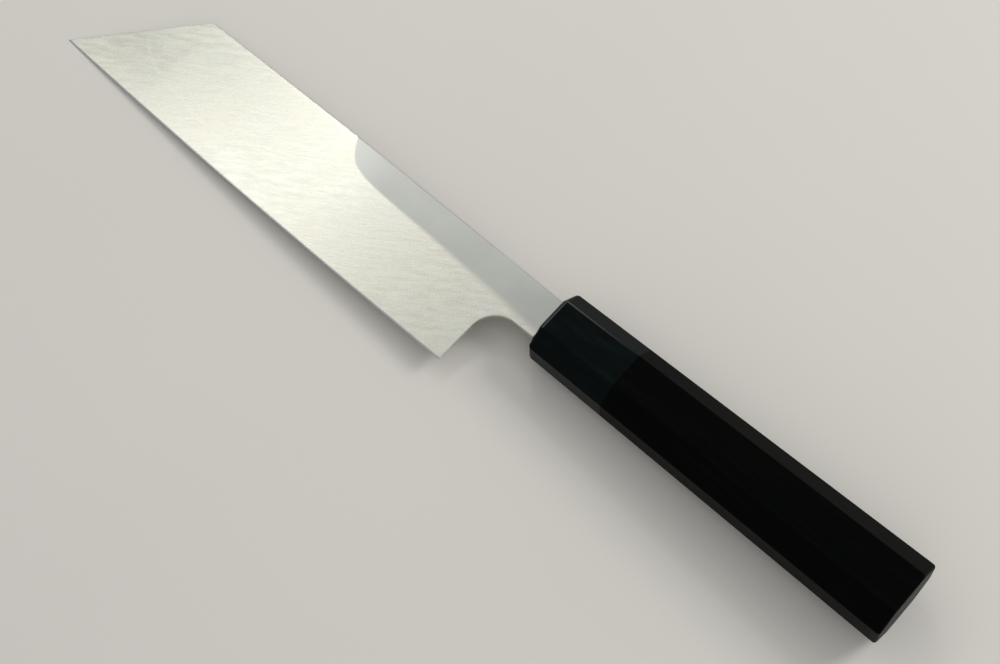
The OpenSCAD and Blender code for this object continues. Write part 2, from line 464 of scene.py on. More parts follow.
def straight(start, end, spacing):
    """Points from start to end at about the given spacing."""
    start, end = np.array(start, float), np.array(end, float)
    count = max(1, round(float(np.linalg.norm(end - start)) / spacing))
    return start + (end - start) * np.linspace(0, 1, count + 1)[:, None]


def line_distance(points, line):
    """Distance of each point to the nearest part of a chain of segments."""
    best = np.full(len(points), 1e9)
    for a, b in zip(line[:-1], line[1:]):
        d = b - a
        t = np.clip(((points - a) @ d) / max(float(d @ d), 1e-12), 0, 1)
        best = np.minimum(best, np.linalg.norm(points - a - t[:, None] * d, axis=1))
    return best


def beside(line, offset):
    """The points of a chain moved to its left, doubled ones dropped."""
    along = np.gradient(line, axis=0)
    reach = np.linalg.norm(along, axis=1, keepdims=True)
    moving = reach[:, 0] > 1e-9
    side = np.stack([-along[:, 1], along[:, 0]], 1)[moving] / reach[moving]
    return line[moving] + side * offset


class GroundBlade:
    """The blade as heights above its back, over its outline, in millimetres."""

    # Where the grind meets the flat side: height above the handle axis at stations along the knife
    ridge = (
        (-84.6, 8.6),
        (-84.0, 7.3),
        (-82.9, 5.4),
        (-81.6, 3.5),
        (-80.2, 1.9),
        (-78.6, 0.7),
        (-76.5, -0.2),
        (-73.0, -1.1),
        (-68.7, -1.6),
        (-61.4, -2.0),
        (-53.9, -2.3),
        (-42.5, -2.8),
        (-31.6, -3.4),
        (-21.3, -4.0),
        (-12.6, -4.7),
        (-4.0, -5.6),
        (3.0, -6.6),
    )

    # Convexity of the grind at stations along the knife, as height lost per millimetre squared
    swell = (
        (-178.0, 0.0016),
        (-108.0, 0.0018),
        (-86.0, 0.00188),
        (-84.0, 0.00186),
        (-81.6, 0.0017),
        (-79.1, 0.00152),
        (-77.3, 0.00139),
        (-73.0, 0.0013),
        (-63.0, 0.0012),
        (3.0, 0.0012),
    )

    # Height over which grind and flat side run into each other, at stations along the knife
    blend = ((-88, 0.012), (-70, 0.02), (-53, 0.06), (-33, 0.12), (-13, 0.22), (3, 0.3))

    # Grid of the plan's corners: from, to and step along the knife, and the same up from the edge
    columns = ((-177, -93, 1.6), (-93, -73, 0.8), (-73, 3, 1.5))
    rows = (4.6, 39, 1.5)
    rows_near_edge = (1.1, 2.0, 3.2)

    # Extra corners: distances beside the ridge, and shares of the easing's radius inside a rim
    beside_ridge = (-1.3, -0.75, -0.4, -0.16, 0.16, 0.4, 0.75, 1.3)
    on_easing = (0.076, 0.293, 0.617, 1.0, 1.25)

    # Round between the hollow's sides, and the run from its rim to its full depth
    hollow_round = 2.2
    hollow_run = 8.5

    def __init__(self, size):
        for name in BladeSizes.__annotations__:
            setattr(self, name, millimetres(size, name))
        self.tip = np.array([-self.blade_length, -self.tip_drop])
        self.heel = np.array([-self.heel_gap, -self.heel_drop])
        self.corner = np.array([self.tip_run - self.blade_length, self.spine_top])
        self.edge = shallow_arc(self.tip, self.heel, self.edge_belly, 220)
        self.spine = shallow_arc((0, self.neck_top), self.corner, self.spine_crown, 200)
        notch_x, radius = self.heel_lean - self.heel_gap, self.notch_radius
        self.notch_centre = np.array([notch_x + radius, -self.neck_bottom - radius])
        self.build_outline()
        self.build_slopes()

    def build_outline(self):
        """Stretches of the outline, counter-clockwise from the neck's end."""
        round_tip = fillet(self.spine[-12], self.corner, self.tip, self.tip_radius, 14)
        spine = self.spine[self.spine[:, 0] > round_tip[0, 0] + 0.3]
        turns = np.radians(np.linspace(180, 90, 32))
        arc = self.notch_centre + self.notch_radius * np.stack([np.cos(turns), np.sin(turns)], 1)
        neck_end = np.array([[self.shoulder, -self.neck_bottom], [self.shoulder, self.neck_top]])
        self.stretches = {
            "neck end": straight(neck_end[0], neck_end[1], 1.0),
            "neck top": straight(neck_end[1], (0, self.neck_top), 0.6),
            "spine": spine,
            "tip corner": round_tip,
            "tip end": straight(round_tip[-1], self.tip, 0.8),
            "edge": self.edge,
            "heel": straight(self.heel, arc[0], 0.6),
            "notch": arc,
            "neck low": straight(arc[-1], neck_end[0], 0.6),
        }
        loop = [self.stretches["neck end"][0]]
        for points in self.stretches.values():
            for p in points:
                if np.linalg.norm(p - loop[-1]) > 1e-6:
                    loop.append(p)
        if np.linalg.norm(loop[-1] - loop[0]) < 1e-6:
            loop.pop()
        self.loop = np.array(loop)
        upper = self.chain("neck top", "spine", "tip corner", "tip end")
        self.eased = [upper, self.chain("heel", "notch", "neck low")]

    def chain(self, *names):
        """Points of some stretches of the outline, one after the other."""
        return np.concatenate([self.stretches[name] for name in names])

    def edge_height(self, x):
        """Y of the edge at x, carried on past the heel."""
        slope = (self.edge[-1, 1] - self.edge[-2, 1]) / (self.edge[-1, 0] - self.edge[-2, 0])
        past = np.maximum(x - self.edge[-1, 0], 0)
        return np.interp(x, self.edge[:, 0], self.edge[:, 1]) + past * slope

    def ridge_height(self, x):
        """Y of the ridge between grind and flat side."""
        return np.interp(x, *zip(*self.ridge))

    def swell_at(self, x):
        """Convexity of the grind at x, its changes rounded off."""
        line = tuple(zip(*self.swell))
        shifts = (-1.5, -0.75, 0.0, 0.75, 1.5)
        return sum(np.interp(x + shift, *line) for shift in shifts) / len(shifts)

    def flat_height(self, x):
        """Height of the flat side above the back."""
        fall = (self.neck_thickness - self.flat_thickness) / -self.ridge[1][0]
        return self.neck_thickness + fall * np.minimum(x, 0)

    def build_slopes(self):
        """Slope of the grind at the edge for stations along the knife, from the heights it meets."""
        stations = np.linspace(-self.blade_length + 1.0, self.shoulder, 400)
        front = self.ridge[0][0]
        slopes = []
        for x in stations:
            low = float(self.edge_height(x))
            if x < self.corner[0]:
                share = (x + self.blade_length) / self.tip_run
                top = self.tip[1] + (self.corner[1] - self.tip[1]) * share
                height = self.edge_land + (self.tip_thickness - self.edge_land) * share
            elif x < front:
                share = (x - self.corner[0]) / (front - self.corner[0])
                top = float(np.interp(x, self.spine[::-1, 0], self.spine[::-1, 1]))
                height = self.tip_thickness + (self.flat_thickness - self.tip_thickness) * share
            else:
                top = float(self.ridge_height(x))
                height = float(self.flat_height(x))
            reach = top - low
            slopes.append((height - self.edge_land + float(self.swell_at(x)) * reach**2) / reach)
        slopes = np.array(slopes)
        window = np.hanning(17)
        window /= window.sum()
        padded = np.pad(slopes, 8, mode="edge")
        smooth = np.convolve(padded, window, mode="valid")
        # The grind meets the flat side exactly, and eases on from there towards the tip
        near = np.clip((stations - (front - 1.0)) / 2.0, 0, 1)
        self.slope_line = stations, slopes * near + smooth * (1 - near)

    def grind_height(self, x, y):
        """Height of the grind, carried on over the flat side."""
        reach = np.maximum(y - self.edge_height(x), 0)
        slope, swell = np.interp(x, *self.slope_line), self.swell_at(x)
        inner = np.minimum(reach, slope / (2 * swell))
        body = self.edge_land + slope * inner - swell * inner**2
        honed = self.edge_tip + (self.micro_height(x) - self.edge_tip) * reach / self.micro_bevel
        return np.where(reach < self.micro_bevel, honed, body)

    def micro_height(self, x):
        """Height of the grind where the honed strip begins."""
        slope = np.interp(x, *self.slope_line)
        return self.edge_land + slope * self.micro_bevel - self.swell_at(x) * self.micro_bevel**2

    def softness(self, x):
        """Height over which grind and flat side run into each other: crisp in front, soft behind."""
        return np.interp(x, *zip(*self.blend))

    def bare_top(self, x, y):
        """Upper side before its edges are eased."""
        flat, grind, soft = self.flat_height(x), self.grind_height(x, y), self.softness(x)
        overlap = np.maximum(soft - np.abs(flat - grind), 0) / soft
        return np.minimum(flat, grind) - overlap**2 * soft / 4

    def ground_share(self, x, y):
        """1 on the grind, 0 on the flat side."""
        soft = self.softness(x) + 0.01
        s = np.clip(0.5 + (self.flat_height(x) - self.grind_height(x, y)) / (2 * soft), 0, 1)
        return s * s * (3 - 2 * s)

    def rim_distance(self, points):
        """Distance to the outline, the edge left out."""
        return np.minimum(*(line_distance(points, line) for line in self.eased))

    def easing_drop(self, points, height):
        """Drop of a surface near an eased rim, for a plate of that height there."""
        radius = np.minimum(self.easing, 0.4 * height)
        inside = np.clip(radius - self.rim_distance(points), 0, None)
        return radius - np.sqrt(np.maximum(radius**2 - inside**2, 0))

    def heights(self, points):
        """Upper side and back at each point."""
        x, y = points[:, 0], points[:, 1]
        top = self.bare_top(x, y)
        drop = self.easing_drop(points, top)
        sides = [
            y - self.edge_height(x),
            line_distance(points, self.chain("spine", "tip corner")),
            line_distance(points, self.chain("tip end")),
            line_distance(points, self.chain("heel", "notch")),
            np.maximum(-x - self.hard_end - 6.0, 0.0),
        ]
        nearest = -self.hollow_round * np.log(sum(np.exp(-side / self.hollow_round) for side in sides))
        share = np.clip((nearest - self.hollow_rim) / self.hollow_run, 0, 1)
        hollow = self.hollow_depth * (1 - (1 - share) ** 2)
        return top - drop, hollow + drop

    def layer_line(self):
        """Where the hard layer comes out on the grind, from the slanted tip to the heel."""

        def crossing(a, b):
            """Point between a, above the layer, and b, below it, where the layer comes out."""
            for _ in range(40):
                mid = (a + b) / 2
                high = float(self.bare_top(mid[0:1], mid[1:2])[0]) > self.hard_layer
                a, b = (mid, b) if high else (a, mid)
            return (a + b) / 2

        start = crossing(self.stretches["tip corner"][-1], self.tip)
        end = crossing(self.stretches["heel"][-1], self.heel)
        points = []
        for x in np.arange(start[0] + 0.8, end[0] - 0.7, 0.8):
            low = float(self.edge_height(x))
            points.append(crossing(np.array([x, low + 20]), np.array([x, low])))
        near = np.array([0.03, 0.09, 0.18, 0.3, 0.5])[:, None]
        first, last = points[0], points[-1]
        into_start = start + (first - start) / np.linalg.norm(first - start) * near
        into_end = end + (last - end) / np.linalg.norm(last - end) * near[::-1]
        return np.vstack([start, into_start, points, into_end, end])

    def inside(self, points, margin):
        """Which points are inside the outline by at least the margin."""
        loop = self.loop
        x, y = points[:, 0], points[:, 1]
        hit = np.zeros(len(points), bool)
        for a, b in zip(loop, np.roll(loop, -1, axis=0)):
            if a[1] == b[1]:
                continue
            cross = (a[1] > y) != (b[1] > y)
            at = (b[0] - a[0]) * (y - a[1]) / (b[1] - a[1]) + a[0]
            hit ^= cross & (x < at)
        return hit & (line_distance(points, np.vstack([loop, loop[:1]])) > margin)

    def plan(self):
        """Triangles over the outline, with their corners on every line the surfaces need."""
        points, links = [], []

        def add_chain(chain, closed=False):
            first = len(points)
            points.extend(Vector(p) for p in chain)
            count = len(chain)
            links.extend((first + i, first + i + 1) for i in range(count - 1))
            if closed:
                links.append((first + count - 1, first))

        add_chain(self.loop, closed=True)
        layer = self.layer_line()
        add_chain(layer)
        ridge_x = np.concatenate([np.linspace(-84.3, -76.5, 34), np.arange(-76.0, 2.9, 0.9)])
        ridge = np.stack([ridge_x, self.ridge_height(ridge_x)], 1)
        ridge = ridge[self.inside(ridge, 0.02)]
        add_chain(ridge)
        honed = self.edge[2:-1] + (0, self.micro_bevel)
        honed = honed[self.inside(honed, 0.05)]
        add_chain(honed)
        end_y = np.linspace(-self.neck_bottom, 6.6, 12)[1:]
        add_chain(np.stack([np.full(11, -self.hard_end), end_y], 1))

        loose = []
        for share in self.on_easing:
            for line in self.eased:
                row = beside(line, self.easing * share)
                loose.append(row[self.inside(row, self.easing * share * 0.97)])
        loose.extend(beside(ridge, offset) for offset in self.beside_ridge)
        loose.append(honed + (0, 0.15))

        columns = np.concatenate([np.arange(*stretch) for stretch in self.columns])
        rows = np.concatenate([self.rows_near_edge, np.arange(*self.rows)])
        grid = np.array([(x, self.edge_height(x) + row) for x in columns for row in rows])
        clear = self.inside(grid, self.easing * 2.2) & (line_distance(grid, layer) > 0.6)
        loose.append(grid[clear & (line_distance(grid, ridge) > 1.6)])
        loose = np.vstack(loose)
        loose = loose[self.inside(loose, 0.02) & (line_distance(loose, layer) > 0.03)]
        cells = {tuple(np.round(np.array(p) / 0.01).astype(int)) for p in points}
        for p in loose:
            cell = tuple(np.round(p / 0.01).astype(int))
            if cell not in cells:
                cells.add(cell)
                points.append(Vector(p))
        corners, _, triangles, *_ = delaunay_2d_cdt(points, links, [], 1, 1e-5)
        return np.array([tuple(p) for p in corners]), [tuple(t) for t in triangles]


def layered_mesh(name, corners, levels, triangles):
    """Closed mesh from plan triangles, each with its own upper and lower level.

    levels gives each level's height at every corner; triangles are (corners, upper, lower).
    """
    mesh = bmesh.new()
    made = {}

    def vertex(corner, level):
        height = levels[level][corner]
        for other in ("top", "layer", "back"):
            if abs(levels[other][corner] - height) < 2e-3 and (corner, other) in made:
                return made[corner, other]
        made[corner, level] = mesh.verts.new((*corners[corner], height))
        return made[corner, level]

    def face(ring):
        ring = [v for i, v in enumerate(ring) if v != ring[i - 1]]
        if len(set(ring)) > 2:
            mesh.faces.new(ring)

    sides = {}
    for ring, upper, lower in triangles:
        over = [vertex(c, upper) for c in ring]
        under = [vertex(c, lower) for c in ring]
        if over != under:
            face(over)
            face(under[::-1])
        for a, b in zip(ring, ring[1:] + ring[:1]):
            sides[a, b] = upper, lower
    for (a, b), (upper, lower) in sides.items():
        across = sides.get((b, a))
        if across is None:
            face([vertex(b, upper), vertex(a, upper), vertex(a, lower), vertex(b, lower)])
            continue
        if lower == "back" and across[1] == "layer":
            face([vertex(b, "layer"), vertex(a, "layer"), vertex(a, "back"), vertex(b, "back")])
    result = bpy.data.meshes.new(name)
    bmesh.ops.recalc_face_normals(mesh, faces=mesh.faces)
    mesh.to_mesh(result)
    mesh.free()
    return result


def tang_mesh(form):
    """The tang, a tapering bar with eased corners, from inside the neck's shoulder."""
    mesh = bmesh.new()
    z = form.neck_thickness / 2
    t = form.tang_thickness / 2
    ends = ((form.shoulder - 0.4, form.tang_front / 2), (form.tang_length, form.tang_back / 2))
    signs = ((-1, -1), (1, -1), (1, 1), (-1, 1))
    rings = [[mesh.verts.new((x, sy * w, z + sz * t)) for sy, sz in signs] for x, w in ends]
    for i in range(4):
        j = (i + 1) % 4
        mesh.faces.new([rings[0][i], rings[0][j], rings[1][j], rings[1][i]])
    mesh.faces.new(rings[0])
    mesh.faces.new(reversed(rings[1]))
    bmesh.ops.recalc_face_normals(mesh, faces=mesh.faces)
    bmesh.ops.bevel(mesh, geom=mesh.edges, offset=0.35, segments=2, affect="EDGES", profile=0.5)
    return mesh


def mark(mesh, name, values):
    """Stores one number a vertex, for the finishes to read."""
    attribute = mesh.attributes.new(name, "FLOAT", "POINT")
    attribute.data.foreach_set("value", np.asarray(values, np.float32))


def mark_surfaces(mesh, form):
    """Marks where the steel is ground, eased at a rim, honed at the edge, and on the back."""
    places = np.array([v.co for v in mesh.vertices]).reshape(-1, 3)
    x, y, z = places.T
    plan = places[:, :2]
    top = form.bare_top(x, y)
    upper = z > 0.45 * top
    mark(mesh, "ground", np.where(upper, form.ground_share(x, y), 0.0))
    mark(mesh, "rim", 1 - np.clip(form.rim_distance(plan) / (form.easing * 1.1), 0, 1))
    mark(mesh, "back", np.where(upper, 0.0, 1.0))
    mark(mesh, "from_edge", np.maximum(y - form.edge_height(x), 0))


def even_out_grind(mesh):
    """Shades the grind as one smooth sweep past the front of the flat side."""
    turn = np.array(lying().to_3x3().normalized())
    count = len(mesh.loops)
    normals = np.empty(count * 3, np.float32)
    mesh.corner_normals.foreach_get("vector", normals)
    normals = normals.reshape(-1, 3) @ turn
    corners = np.empty(count, np.int32)
    mesh.loops.foreach_get("vertex_index", corners)
    ground = np.empty(len(mesh.vertices), np.float32)
    mesh.attributes["ground"].data.foreach_get("value", ground)
    swept = (ground[corners] > 0.5) & (normals[:, 2] > 0.9)
    normals[swept, 0] = np.clip(normals[swept, 0], -0.03, 0.03)
    normals /= np.linalg.norm(normals, axis=1, keepdims=True)
    mesh.normals_split_custom_set((normals @ turn.T).tolist())


class KNIFE_OT_blade(bpy.types.Operator):
    """Make the soft iron body and the hard steel layer of the blade"""

    bl_idname = "knife.blade"
    bl_label = "Blade"

    def execute(self, context):
        form = GroundBlade(context.scene.knife_blade)
        corners, triangles = form.plan()
        top, back = form.heights(corners)
        layer_line = form.layer_line()
        middles = np.array([corners[list(t)].mean(0) for t in triangles])
        strip = middles[:, 1] < np.interp(middles[:, 0], layer_line[:, 0], layer_line[:, 1])
        strip |= middles[:, 0] < layer_line[0, 0]
        on_line = line_distance(corners, layer_line) < 1e-3
        layer = np.where(on_line, np.minimum(top, form.hard_layer), form.hard_layer)
        layer = np.minimum(layer, np.maximum(top, back))
        levels = {"top": top, "layer": layer, "back": back}
        iron, steel = [], []
        for ring, middle, exposed in zip(triangles, middles, strip):
            if exposed:
                steel.append((ring, "top", "back"))
            elif middle[0] > -form.hard_end:
                iron.append((ring, "top", "back"))
            else:
                iron.append((ring, "top", "layer"))
                steel.append((ring, "layer", "back"))
        lower = Matrix.Translation((0, 0, -form.neck_thickness / 2))

        body = layered_mesh("blade_body_ground", corners, levels, iron)
        joined = tang_mesh(form)
        joined.from_mesh(body)
        joined.to_mesh(body)
        joined.free()
        mark_surfaces(body, form)
        body.materials.append(soft_iron_finish())
        body.transform(lower)
        add_piece("blade_body_ground", body, ["blade_body"], shading=even_out_grind)

        plate = layered_mesh("hard_steel_back", corners, levels, steel)
        mark_surfaces(plate, form)
        plate.materials.append(hard_steel_finish())
        plate.transform(lower)
        add_piece("hard_steel_back", plate, ["hard_steel"])
        return {"FINISHED"}


# ---------------------------------------------------------------------------
# Handle
# ---------------------------------------------------------------------------


def rounded_octagon(shape, end):
    """Octagon at one end of the bar with its corners rounded, as a curve."""
    given = shape.given
    sockets = {"Width": given[f"{end} Width"], "Height": given[f"{end} Thickness"]}
    box = shape.node("GeometryNodeCurvePrimitiveQuadrilateral", {"mode": "RECTANGLE"}, sockets)["Curve"]
    sockets = {"Curve": box, "Count": 1, "Radius": given[f"{end} Corner"]}
    octagon = shape.node("GeometryNodeFilletCurve", {"mode": "POLY"}, sockets)["Curve"]
    sockets = {"Curve": octagon, "Count": given["Arris Steps"], "Radius": given["Arris Radius"]}
    return shape.node("GeometryNodeFilletCurve", {"mode": "POLY"}, sockets)["Curve"]


def octagon_bar_shape():
    """Tree of a tapering octagonal bar with rounded corners and rims, along X."""
    lengths = ("Start", "End", "Start Width", "Start Thickness", "Start Corner")
    lengths += ("End Width", "End Thickness", "End Corner", "Arris Radius", "Start Rim", "End Rim")
    shape = Shape("Octagonal Bar", lengths, ("Arris Steps", "Rim Steps"))
    given = shape.given
    around = (given["Arris Steps"] + 1) * 8
    stations = given["Rim Steps"] * 2 + 4
    sockets = {"Size X": 1.0, "Size Y": 1.0, "Vertices X": stations, "Vertices Y": around + 1}
    net = shape.node("GeometryNodeMeshGrid", None, sockets)["Mesh"]
    index = shape.node("GeometryNodeInputIndex")["Index"]
    column = around + 1
    station = shape.math("FLOOR", (index + 0.5) / column)
    turn = shape.math("FLOOR", index - station * column + 0.5)
    turn = turn - around * shape.math("FLOOR", (turn + 0.5) / around)

    def arc(steps_in):
        share = shape.math("MULTIPLY", steps_in / given["Rim Steps"], math.pi / 2)
        share = shape.math("MINIMUM", shape.math("MAXIMUM", share, 0.0), math.pi / 2)
        return 1 - shape.math("COSINE", share), 1 - shape.math("SINE", share)

    last = stations - 1
    start_in, start_inset = arc(station - 1)
    end_in, end_inset = arc(last - 1 - station)
    in_start = shape.math("LESS_THAN", station, given["Rim Steps"] + 1.5)
    start_x = given["Start"] + given["Start Rim"] * start_in
    end_x = given["End"] - given["End Rim"] * end_in
    x = start_x * in_start + end_x * (1 - in_start)
    inset = given["Start Rim"] * start_inset + given["End Rim"] * end_inset
    share = (x - given["Start"]) / (given["End"] - given["Start"])
    open_ = shape.math("GREATER_THAN", station, 0.5) * shape.math("LESS_THAN", station, last - 0.5)

    def along(end_value, start_value):
        return start_value + (end_value - start_value) * share

    position = shape.node("GeometryNodeInputPosition")["Position"]
    corners = []
    for end in ("Start", "End"):
        settings = {"data_type": "FLOAT_VECTOR", "domain": "POINT"}
        sockets = {"Geometry": rounded_octagon(shape, end), "Value": position, "Index": turn}
        found = shape.node("GeometryNodeSampleIndex", settings, sockets)["Value"]
        corners.append(shape.node("ShaderNodeSeparateXYZ", None, {"Vector": found}))
    half_width = along(given["End Width"], given["Start Width"]) / 2
    half_thick = along(given["End Thickness"], given["Start Thickness"]) / 2
    y = along(corners[1]["X"], corners[0]["X"]) * (1 - inset / half_width) * open_
    z = along(corners[1]["Y"], corners[0]["Y"]) * (1 - inset / half_thick) * open_
    place = shape.node("ShaderNodeCombineXYZ", None, {"X": x, "Y": y, "Z": z})["Vector"]
    bar = shape.node("GeometryNodeSetPosition", None, {"Geometry": net, "Position": place})["Geometry"]
    sockets = {"Geometry": bar, "Distance": 1e-4}
    bar = shape.node("GeometryNodeMergeByDistance", None, sockets)["Geometry"]
    shape.finish_with(bar)
    return shape


def bar_section(size, x):
    """Width, thickness and corner cut of the handle at x, in millimetres."""
    share = x / millimetres(size, "handle_length")
    section = []
    for part in ("width", "thickness", "corner"):
        front, butt = millimetres(size, f"front_{part}"), millimetres(size, f"butt_{part}")
        section.append(front + (butt - front) * share)
    return section


def bar_mesh(shape, name, size, start, end, rims, finish):
    """One length of the handle."""
    sections = {
        f"{side}_{part}": value
        for side, x in (("start", start), ("end", end))
        for part, value in zip(("width", "thickness", "corner"), bar_section(size, x))
    }
    return shape.make(
        name,
        finish,
        start=start,
        end=end,
        arris_radius=millimetres(size, "arris"),
        start_rim=rims[0],
        end_rim=rims[1],
        arris_steps=size.arris_steps,
        rim_steps=size.rim_steps,
        **sections,
    )


def mark_painted_highlight(mesh, size):
    """Marks the crease and a band of the front rim for a painted highlight, lightened and coated, fading
    out along the ferrule.
    """
    joint, rim = millimetres(size, "ferrule_length"), millimetres(size, "front_rim")
    reach = millimetres(size, "arris") * math.tan(math.pi / 8)
    worn = []
    for vertex in mesh.vertices:
        x, y, z = vertex.co
        width, thickness, corner = bar_section(size, x)
        away = math.hypot(y - (width / 2 - corner), z - thickness / 2) / reach
        crease = max(0.0, min(1.0, 1.25 * (1 - away**2))) * (1 - x / joint)
        turn = math.acos(max(-1.0, min(1.0, 1 - x / rim)))
        on_rim = x < rim - 1e-3 and z > 0 and abs(y) < width / 2 - corner
        front = max(0.0, 1 - abs(turn - math.radians(70)) / math.radians(20)) if on_rim else 0.0
        worn.append(max(crease, front))
    mark(mesh, "worn", worn)


def cut_mouth(mesh, size, blade):
    """Opens the mouth that the neck goes into, in the front face."""
    room, depth = millimetres(size, "mouth_room"), millimetres(size, "mouth_depth")
    low = -millimetres(blade, "neck_bottom") - room
    high = millimetres(blade, "neck_top") + room
    half = millimetres(blade, "neck_thickness") / 2 + room
    work = bmesh.new()
    work.from_mesh(mesh)
    work.verts.ensure_lookup_table()
    centre = min(work.verts, key=lambda v: v.co.length)
    bmesh.ops.delete(work, geom=[centre], context="VERTS")
    outer = [e for e in work.edges if e.is_boundary]
    corners = ((low, -half), (high, -half), (high, half), (low, half))
    front = [work.verts.new((0, y, z)) for y, z in corners]
    deep = [work.verts.new((depth, y, z)) for y, z in corners]
    ring = [work.edges.new((front[i], front[(i + 1) % 4])) for i in range(4)]
    bmesh.ops.triangle_fill(work, use_beauty=True, edges=outer + ring)
    for i in range(4):
        j = (i + 1) % 4
        work.faces.new([front[i], front[j], deep[j], deep[i]])
    work.faces.new(deep)
    bmesh.ops.recalc_face_normals(work, faces=work.faces)
    work.to_mesh(mesh)
    work.free()


class KNIFE_OT_handle(bpy.types.Operator):
    """Make the horn ferrule and the wooden grip"""

    bl_idname = "knife.handle"
    bl_label = "Handle"

    def execute(self, context):
        size, blade = context.scene.knife_handle, context.scene.knife_blade
        shape = octagon_bar_shape()
        joint = millimetres(size, "ferrule_length")
        joint_rim = millimetres(size, "joint_rim")
        rims = millimetres(size, "front_rim"), joint_rim
        horn = bar_mesh(shape, "ferrule_polished", size, 0.0, joint, rims, horn_finish())
        cut_mouth(horn, size, blade)
        # The crease and front rim of the ferrule get a painted highlight
        mark_painted_highlight(horn, size)
        add_piece("ferrule_polished", horn, ["horn_ferrule"], sharp=math.radians(40))
        rims = joint_rim, millimetres(size, "butt_rim")
        butt = millimetres(size, "handle_length")
        wood = bar_mesh(shape, "grip_oiled", size, joint, butt, rims, wood_finish())
        add_piece("grip_oiled", wood, ["grip"], sharp=math.radians(40))
        return {"FINISHED"}


# ---------------------------------------------------------------------------
# Mouth
# ---------------------------------------------------------------------------


def bead_shape():
    """Tree of a hand-laid bead that runs round a rounded rectangle in the YZ plane."""
    lengths = ("Width", "Thickness", "Corner", "Radius", "Unevenness")
    shape = Shape("Seal Bead", lengths, ("Seed",))
    given = shape.given
    sockets = {"Width": given["Width"], "Height": given["Thickness"]}
    path = shape.node("GeometryNodeCurvePrimitiveQuadrilateral", {"mode": "RECTANGLE"}, sockets)["Curve"]
    sockets = {"Curve": path, "Count": 5, "Radius": given["Corner"]}
    path = shape.node("GeometryNodeFilletCurve", {"mode": "POLY"}, sockets)["Curve"]
    sockets = {"Curve": path, "Count": 110}
    path = shape.node("GeometryNodeResampleCurve", {"mode": "COUNT"}, sockets)["Curve"]
    sockets = {"Resolution": 16, "Radius": given["Radius"]}
    round_ = shape.node("GeometryNodeCurvePrimitiveCircle", {"mode": "RADIUS"}, sockets)["Curve"]
    tube = shape.node("GeometryNodeCurveToMesh", None, {"Curve": path, "Profile Curve": round_})["Mesh"]
    position = shape.node("GeometryNodeInputPosition")["Position"]
    settings = {"noise_dimensions": "4D"}
    sockets = {"Vector": position, "W": given["Seed"] * 7.31, "Scale": 0.55, "Detail": 2.0}
    swell = shape.node("ShaderNodeTexNoise", settings, sockets)["Fac"]
    normal = shape.node("GeometryNodeInputNormal")["Normal"]
    push = shape.vector("SCALE", normal, (swell - 0.5) * given["Unevenness"])
    tube = shape.node("GeometryNodeSetPosition", None, {"Geometry": tube, "Offset": push})["Geometry"]
    shape.finish_with(tube)
    return shape


class KNIFE_OT_mouth(bpy.types.Operator):
    """Lay the seal bead round the neck and give the bedding its finish"""

    bl_idname = "knife.mouth"
    bl_label = "Mouth"

    def execute(self, context):
        size, blade = context.scene.knife_handle, context.scene.knife_blade
        top, bottom = millimetres(blade, "neck_top"), millimetres(blade, "neck_bottom")
        out = millimetres(size, "bead_offset")
        bead = bead_shape().make(
            "mouth_bead",
            sealant_finish(),
            width=top + bottom + 2 * out,
            thickness=millimetres(blade, "neck_thickness") + 2 * out,
            corner=0.9,
            radius=millimetres(size, "bead_radius"),
            unevenness=0.3,
            seed=3,
        )
        stand = Matrix.Translation((-millimetres(size, "bead_stand"), (top - bottom) / 2, 0))
        turn = Matrix(((0, 0, 1, 0), (1, 0, 0, 0), (0, 1, 0, 0), (0, 0, 0, 1)))
        bead.transform(stand @ turn)
        sharp = math.radians(60)
        add_piece("mouth_bead", bead, ["mouth_seal"], sharp=sharp, weighted=False)

        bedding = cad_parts["tang_bedding"]
        resin = resin_finish()
        if not bedding.material_slots:
            bedding.data.materials.append(resin)
        for held in bedding.material_slots:
            held.material = resin
        return {"FINISHED"}


# ---------------------------------------------------------------------------
# Finishes
# ---------------------------------------------------------------------------

# Turn of the stone's scratches from the knife's length, up towards the spine
GRIND_TURN = math.radians(31)


def shade(tone, *factors):
    """A colour times one factor, or times one for each channel."""
    factors = factors * 3 if len(factors) == 1 else factors
    return tuple(channel * factor for channel, factor in zip(tone, factors))


def stone_ground(finish, dark, light, cool, rough):
    """Colour, roughness and relief of steel ground on a coarse stone: streaks, scratches, cloud."""
    loose = finish.wandering(finish.place, 70.0, 0.0022)
    streaks = finish.grain(loose, (0.0085, 0.0016, 1.0), GRIND_TURN, detail=3.0, roughness=0.6)
    crossing = finish.grain(loose, (0.013, 0.0011, 1.0), GRIND_TURN - 0.12)
    cell = (0.006, 0.0003, 1.0)
    fine = finish.grain(finish.place, cell, GRIND_TURN + 0.03, detail=3.0, roughness=0.7)
    cloud = finish.noise(finish.place, 55.0)
    tone = finish.mix(finish.band(streaks, 0.35, 0.68), dark, light)
    tone = finish.mix(finish.band(cloud, 0.42, 0.62, 0.0, 0.6), tone, cool)
    rough = rough + (streaks - 0.5) * 0.16 + (fine - 0.5) * 0.14
    return tone, rough, streaks * 0.55 + crossing * 0.3 + fine * 0.15


